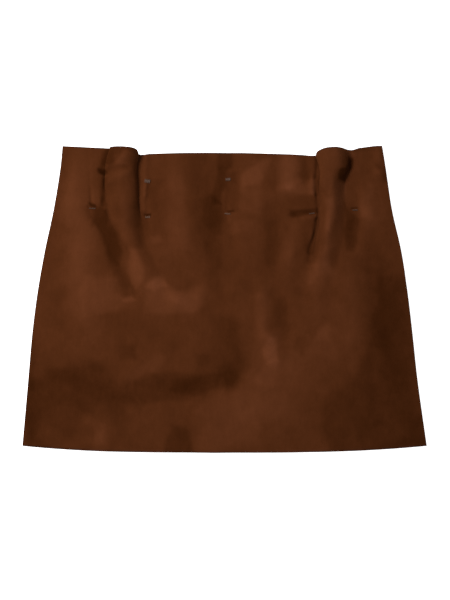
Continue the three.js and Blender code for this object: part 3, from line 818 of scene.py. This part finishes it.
def border(rows, columns):
    """Index pairs round the edge of a grid, once round, anticlockwise from above."""
    west = [(r, 0) for r in range(rows - 1)]
    south = [(rows - 1, c) for c in range(columns - 1)]
    east = [(r, columns - 1) for r in range(rows - 1, 0, -1)]
    north = [(0, c) for c in range(columns - 1, 0, -1)]
    return np.array(west + south + east + north)


def add_mesh(name, points, faces, fields):
    """A smooth-shaded object from points in millimetres, with each field as an attribute."""
    mesh = bpy.data.meshes.new(name)
    mesh.from_pydata((points * MM).tolist(), [], faces)
    mesh.polygons.foreach_set("use_smooth", np.ones(len(mesh.polygons), bool))
    for title, values in fields.items():
        layer = mesh.attributes.new(title, "FLOAT", "POINT")
        layer.data.foreach_set("value", np.array(values, np.float32))
    mesh.update()
    obj = bpy.data.objects.new(name, mesh)
    bpy.context.collection.objects.link(obj)
    return obj


def shell_mesh(name, upper, lower, fields, inner_side):
    """A closed cloth piece between two grids, its cut edge rounded.

    Each field is a float attribute on the grid. The attribute rim is 1 on the cut edge and part
    of that on the face's border, a painted shadow along the outline, and inner is 1 on the face
    of the inner side, 0 for the upper face or 1 for the lower one.
    """
    rows, columns, _ = upper.shape
    edge = border(rows, columns)
    on_edge = tuple(edge.T)
    next_in = tuple(np.clip(edge, 1, (rows - 2, columns - 2)).T)
    across = unit(upper[on_edge] - lower[on_edge])
    away = upper[on_edge] - upper[next_in]
    away = unit(away - across * np.sum(away * across, axis=1, keepdims=True))
    upper = upper.copy()
    lower = lower.copy()
    upper[on_edge] -= away * EDGE_ROUND
    lower[on_edge] -= away * EDGE_ROUND
    rims = []
    for angle in np.radians(RIM_ANGLES):
        level = (1 - np.cos(angle)) / 2
        rims.append(mix(upper[on_edge], lower[on_edge], level) + away * EDGE_ROUND * np.sin(angle))
    count = rows * columns
    turns = len(edge)
    points = np.concatenate((upper.reshape(-1, 3), lower.reshape(-1, 3), *rims))
    ids = np.arange(count).reshape(rows, columns)
    a = ids[:-1, :-1].ravel()
    b = ids[1:, :-1].ravel()
    c = ids[1:, 1:].ravel()
    d = ids[:-1, 1:].ravel()
    faces = [np.stack((a, b, c, d), 1), np.stack((d, c, b, a), 1) + count]
    ring = ids[on_edge]
    loops = [ring]
    loops += [2 * count + k * turns + np.arange(turns) for k in range(len(rims))]
    loops += [ring + count]
    for high, under in zip(loops, loops[1:]):
        faces.append(np.stack((high, under, np.roll(under, -1), np.roll(high, -1)), 1))
    spread = {"rim": np.zeros(len(points)), "inner": np.zeros(len(points))}
    spread["rim"][2 * count:] = 1
    # The cut edge's dark colour spills onto the face's border as a painted shadow along the outline
    spread["rim"][ring] = RIM_SHADOW_ON_FACE
    spread["inner"][inner_side * count:(inner_side + 1) * count] = 1
    for title, values in fields:
        rim = np.tile(values[on_edge], len(rims))
        spread[title] = np.concatenate((values.ravel(), values.ravel(), rim))
    return add_mesh(name, points, np.concatenate(faces).tolist(), spread)


def blurred(values, times):
    """A field smoothed by its neighbours, a number of times."""
    for _ in range(times):
        padded = np.pad(values, 1, mode="edge")
        values = (
            padded[1:-1, 1:-1] * 4
            + padded[:-2, 1:-1]
            + padded[2:, 1:-1]
            + padded[1:-1, :-2]
            + padded[1:-1, 2:]
        ) / 8
    return values


def front_shell():
    upper = front_grid()
    normals = grid_normals(upper)
    lower = upper - normals * WALL
    # The lower face stays a seam's gap above the back
    lower[..., 2] = np.maximum(lower[..., 2], WALL + SEAM_GAP)
    height = upper[..., 2]
    # Heights against their smoothed surroundings, for painted shade in the hollows and lighter ridges
    fields = (
        ("crest_wear_and_shade", height - blurred(height, CREST_BLURS)),
        ("cleft_shade", height - blurred(height, CLEFT_BLURS)),
        ("nap_and_shade", nap_and_painted_shade(upper[..., 0], upper[..., 1])),
    )
    return shell_mesh("front_suede", upper, lower, fields, inner_side=1)


def back_lift(x, y):
    """Height of the back's soft creases off the surface, where the front leaves room for them."""
    lift = np.zeros(x.shape)
    folded_x, folded_y = drift(x, y, *FOLD_DRIFT)
    for i, crease in enumerate(BACK_CREASES):
        crease_lift = fold_height(crease, folded_x, folded_y, BACK_CREASE_PHASE * i)
        lift = np.maximum(lift, crease_lift)
    return lift * smooth((front_height(x, y, WAIST_CORNER_Y - y) - FRONT_SEAT) / BACK_ROOM)


def back_shell():
    t = np.linspace(0, 1, BACK_COLUMNS + 1)[None, :]
    down = np.linspace(0, 1, BACK_ROWS + 1)[:, None]
    waist = BACK_WAIST_CORNER - BACK_WAIST_DIP * (1 - (2 * t - 1) ** BACK_WAIST_POWER)
    y_side = mix(BACK_WAIST_CORNER, HEM_CORNER_Y, down)
    x = mix(side_x("left", y_side), side_x("right", y_side), t)
    y = mix(waist, hem_y(t), down)
    lift = back_lift(x, y)
    upper = np.stack((x, y, lift + WALL), -1)
    lower = np.stack((x, y, lift), -1)
    plain = np.zeros(x.shape)
    nap_and_shade = BACK_NAP_ON_CREASES * lift + uneven(x, y, BACK_NAP_LUMPS)
    fields = (("crest_wear_and_shade", plain), ("cleft_shade", plain), ("nap_and_shade", nap_and_shade))
    return shell_mesh("back_suede", upper, lower, fields, inner_side=0)


def strand_rings(path, radius):
    """Points of a round thread along a path, ring by ring, with a narrower one past each end."""
    turn = 2 * np.pi * np.arange(STRAND_SIDES) / STRAND_SIDES
    way = unit(np.gradient(path, axis=0))
    side = unit(np.cross(way, OFF_STRAND))
    up = np.cross(side, way)
    reach = radius * STRAND_END_REACH
    path = np.concatenate((path[:1] - way[:1] * reach, path, path[-1:] + way[-1:] * reach))
    side = np.concatenate((side[:1], side, side[-1:]))
    up = np.concatenate((up[:1], up, up[-1:]))
    thick = np.full(len(path), radius)
    thick[[0, -1]] = radius * STRAND_END_RADIUS
    ring = side[:, None] * np.cos(turn)[:, None] + up[:, None] * np.sin(turn)[:, None]
    return (path[:, None] + ring * thick[:, None, None]).reshape(-1, 3)


def strands(name, paths, radius, lit_shares):
    """Round threads along short paths as one mesh, each with its own share of lit colour against painted
    shade.
    """
    points = []
    faces = []
    shades = []
    start = 0
    for path, thread_lit in zip(paths, lit_shares):
        rings = strand_rings(np.array(path, float), radius)
        last = start + len(rings) - STRAND_SIDES
        for first in range(start, last, STRAND_SIDES):
            for k in range(STRAND_SIDES):
                a = first + k
                b = first + (k + 1) % STRAND_SIDES
                faces.append((a, b, b + STRAND_SIDES, a + STRAND_SIDES))
        faces.append(tuple(start + k for k in reversed(range(STRAND_SIDES))))
        faces.append(tuple(last + k for k in range(STRAND_SIDES)))
        points.append(rings)
        shades += [thread_lit] * len(rings)
        start += len(rings)
    return add_mesh(name, np.concatenate(points), faces, {"thread_lit": shades})


def bar_tack(x, y, length, high, turn):
    """Short side-by-side stitches over the end of a pleat, with their slant in turns."""
    a = math.radians(turn)
    count = round(length / TACK_PITCH)
    across = (np.arange(count) + 0.5) * TACK_PITCH - length / 2
    t = np.linspace(-1, 1, TACK_POINTS)
    u = across[:, None] + TACK_SLANT * (-1) ** np.arange(count)[:, None] * t
    v = t * high / 2
    sx = x + u * math.cos(a) - v * math.sin(a)
    sy = y + u * math.sin(a) + v * math.cos(a)
    rise = TACK_SEAT + TACK_RISE * np.sqrt(1 - t * t)
    return list(np.stack((sx, sy, front_height(sx, sy, WAIST_CORNER_Y - sy) + rise), -1))


def seam_stitches(side):
    """Stitches in the side seam's groove, from the front's edge to the back's."""
    inward = 1 if side == "left" else -1
    middle = WALL + SEAM_GAP / 2
    paths = []
    for y in np.arange(HEM_CORNER_Y + SEAM_ENDS, WAIST_CORNER_Y - SEAM_ENDS, SEAM_PITCH):
        x = float(side_x(side, y)) + inward * SEAM_INSET
        paths.append([(x, y + SEAM_HALF_LENGTH * t, middle + SEAM_HALF_HEIGHT * t) for t in SEAM_STEPS])
    return paths


class Nodes:
    """Short calls to add nodes to a material and link them."""

    def __init__(self, name):
        self.material = bpy.data.materials.new(name)
        self.material.use_nodes = True
        self.tree = self.material.node_tree
        self.shader = self.tree.nodes["Principled BSDF"]

    def add(self, kind, **settings):
        node = self.tree.nodes.new(kind)
        for key, value in settings.items():
            setattr(node, key, value)
        return node

    def link(self, source, target):
        self.tree.links.new(source, target)

    def fill(self, socket, value):
        if hasattr(value, "is_output"):
            self.link(value, socket)
        else:
            socket.default_value = value

    def set(self, node, **values):
        for key, value in values.items():
            self.fill(node.inputs[key.replace("_", " ")], value)
        return node

    def attribute(self, name):
        return self.add("ShaderNodeAttribute", attribute_name=name).outputs["Fac"]

    def math(self, operation, a, b=0.0):
        node = self.add("ShaderNodeMath", operation=operation)
        for socket, value in zip(node.inputs, (a, b)):
            self.fill(socket, value)
        return node.outputs[0]

    def sum(self, start, *terms):
        """A start value and each term times its weight, added up."""
        total = start
        for value, weight in terms:
            total = self.math("ADD", total, self.math("MULTIPLY", value, weight))
        return total

    def blend(self, share, a, b):
        """From colour a to colour b."""
        node = self.add("ShaderNodeMix", data_type="RGBA")
        self.fill(node.inputs["Factor"], share)
        for socket, value in zip(node.inputs[6:8], (a, b)):
            self.fill(socket, value if hasattr(value, "is_output") else (*value, 1))
        return node.outputs[2]

    def noise(self, scale, detail=2.0, stretch=None, roughness=0.5, warp=0.0):
        coords = self.add("ShaderNodeTexCoord").outputs["Object"]
        if stretch:
            mapping = self.add("ShaderNodeMapping")
            mapping.inputs["Scale"].default_value = stretch
            self.link(coords, mapping.inputs["Vector"])
            coords = mapping.outputs["Vector"]
        node = self.add("ShaderNodeTexNoise")
        self.link(coords, node.inputs["Vector"])
        self.set(node, Scale=scale, Detail=detail, Roughness=roughness, Distortion=warp)
        return node.outputs["Fac"]

    def ramp(self, value, *stops):
        node = self.add("ShaderNodeValToRGB")
        self.link(value, node.inputs["Fac"])
        ramp = node.color_ramp
        while len(ramp.elements) < len(stops):
            ramp.elements.new(0.5)
        for element, (place, colour) in zip(ramp.elements, stops):
            element.position = place
            element.color = (*colour, 1)
        return node.outputs["Color"]

    def bump(self, height, strength, distance):
        node = self.add("ShaderNodeBump")
        self.set(node, Strength=strength, Distance=distance, Height=height)
        self.link(node.outputs["Normal"], self.shader.inputs["Normal"])

    def finish(self, **values):
        """Sets sockets of the shader, with _ for a space in a name."""
        for key, value in values.items():
            self.shader.inputs[key.replace("_", " ")].default_value = value
        return self.material


def suede_material():
    n = Nodes("brown_suede")
    patches = n.noise(13, 3, roughness=0.6)
    mottle = n.noise(60, 4, roughness=0.65, warp=0.4)
    streaks = n.noise(210, 3, stretch=(1, 0.35, 1), roughness=0.6, warp=0.6)
    grain = n.noise(950, 3, stretch=(1, 0.45, 1), roughness=0.7)
    textures = ((patches, 0.24), (mottle, 0.2), (streaks, 0.12), (grain, 0.16))
    # Each texture is about a half on average, and together they leave the mean tone at a half
    base = 0.5 - sum(weight for _, weight in textures) / 2
    # The nap attribute brings brushed nap with painted light and shade of the folds and rolls
    tone = n.sum(base, (n.attribute("nap_and_shade"), 0.27), *textures,
                 # Crests and clefts: painted shade in the hollows and lighter ridges, with some rubbed nap
                 # on the crests
                 (n.attribute("crest_wear_and_shade"), 0.02), (n.attribute("cleft_shade"), 0.1))
    colour = n.ramp(tone, *SUEDE_STOPS)
    inner_share = n.math("MULTIPLY", n.attribute("inner"), WRONG_SIDE_SHARE)
    colour = n.blend(inner_share, colour, WRONG_SIDE)
    # Dark cut edge: raw cut leather, and painted shade along the outline
    rim_share = n.math("MULTIPLY", n.attribute("rim"), CUT_EDGE_SHARE)
    colour = n.blend(rim_share, colour, n.ramp(n.noise(45, 2), *CUT_EDGE_STOPS))
    n.link(colour, n.shader.inputs["Base Color"])
    n.bump(n.math("ADD", grain, n.math("MULTIPLY", streaks, 0.7)), 0.3, 0.0003)
    return n.finish(Roughness=0.95, Specular_IOR_Level=0, Sheen_Weight=0.03,
                    Sheen_Roughness=0.5, Sheen_Tint=(0.8, 0.35, 0.15, 1))


def thread_material():
    n = Nodes("brown_thread")
    twist = n.noise(2600, 2, stretch=(1, 1, 0.6))
    shaded_thread = n.ramp(twist, *SHADED_THREAD_STOPS)
    lit_thread = n.ramp(twist, *LIT_THREAD_STOPS)
    # The darker thread colour is painted shade on tacks sunk in the folds
    colour = n.blend(n.attribute("thread_lit"), shaded_thread, lit_thread)
    n.link(colour, n.shader.inputs["Base Color"])
    n.bump(twist, 0.25, 0.0001)
    return n.finish(Roughness=0.55, Sheen_Weight=0.1, Sheen_Tint=(0.9, 0.7, 0.55, 1))


def tape_material():
    n = Nodes("woven_tape")
    weave = n.add("ShaderNodeTexWave", wave_type="BANDS", bands_direction="Y")
    n.link(n.add("ShaderNodeTexCoord").outputs["Object"], weave.inputs["Vector"])
    n.set(weave, Scale=420, Distortion=1.5, Detail=2)
    n.link(n.ramp(weave.outputs["Fac"], *TAPE_STOPS), n.shader.inputs["Base Color"])
    n.bump(weave.outputs["Fac"], 0.4, 0.0002)
    return n.finish(Roughness=0.85, Sheen_Weight=0.1)


def metal_material():
    n = Nodes("lacquered_metal")
    wear = n.noise(320, 3, roughness=0.6)
    n.link(n.ramp(wear, *METAL_STOPS), n.shader.inputs["Base Color"])
    n.link(n.math("ADD", n.math("MULTIPLY", wear, 0.2), 0.25), n.shader.inputs["Roughness"])
    n.bump(wear, 0.1, 0.0001)
    return n.finish(Metallic=0.35, Coat_Weight=0.4)


def floor_material():
    n = Nodes("white_floor")
    return n.finish(Base_Color=(0.95, 0.95, 0.95, 1), Roughness=0.9,
                    Emission_Color=(1, 1, 1, 1), Emission_Strength=1)


def add_camera():
    high = PHOTO_HIGH * MM_PER_PIXEL * MM
    distance = high * LENS / SENSOR
    off_x = (PHOTO_CENTRE[0] - SKIRT_CENTRE[0]) * MM_PER_PIXEL * MM
    off_y = (SKIRT_CENTRE[1] - PHOTO_CENTRE[1]) * MM_PER_PIXEL * MM
    data = bpy.data.cameras.new("camera")
    data.lens = LENS
    data.sensor_width = SENSOR
    camera = bpy.data.objects.new("camera", data)
    camera.location = (off_x, off_y, distance + FRONT_SEAT * MM)
    bpy.context.collection.objects.link(camera)
    bpy.context.scene.camera = camera


def add_floor():
    bpy.ops.mesh.primitive_plane_add(size=FLOOR_SIZE)
    floor = bpy.context.object
    floor.name = "floor"
    floor.data.materials.append(floor_material())


def add_lamp():
    """A soft round lamp that points at the middle of the skirt."""
    data = bpy.data.lights.new("key", "AREA")
    data.shape = "DISK"
    data.size = LAMP_SIZE
    data.energy = LAMP_POWER
    lamp = bpy.data.objects.new("key", data)
    lamp.location = LAMP_PLACE
    lamp.rotation_euler = (-Vector(LAMP_PLACE)).to_track_quat("-Z", "Y").to_euler()
    bpy.context.collection.objects.link(lamp)


def add_world():
    world = bpy.data.worlds.new("studio")
    world.use_nodes = True
    background = world.node_tree.nodes["Background"]
    background.inputs["Color"].default_value = (1, 1, 1, 1)
    background.inputs["Strength"].default_value = WORLD_STRENGTH
    bpy.context.scene.world = world


def dress(piece, material):
    """Puts a new piece of the skirt in its finish and on its body."""
    piece.data.materials.append(material)
    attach(piece, "root")


suede = suede_material()
front = front_shell()
dress(front, suede)
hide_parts("front_panel")

back = back_shell()
dress(back, suede)
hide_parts("back_panel")

thread = thread_material()
tack_paths = []
tack_lit_shares = []
for *tack, _, thread_lit in TACKS:
    stitches = bar_tack(*tack)
    tack_paths += stitches
    tack_lit_shares += [thread_lit] * len(stitches)
dress(strands("bar_tacks", tack_paths, TACK_THREAD, tack_lit_shares), thread)
seam_paths = seam_stitches("left") + seam_stitches("right")
seam_lit_shares = [SEAM_LIT_SHARE] * len(seam_paths)
dress(strands("side_seam_stitches", seam_paths, SEAM_THREAD, seam_lit_shares), thread)

metal = metal_material()
for node, material in (("zip_tape", tape_material()), ("zip_slider", metal), ("zip_pull", metal)):
    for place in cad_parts[node].material_slots:
        place.material = material

add_camera()
add_floor()
add_world()
add_lamp()
bpy.context.scene.view_settings.view_transform = "Standard"
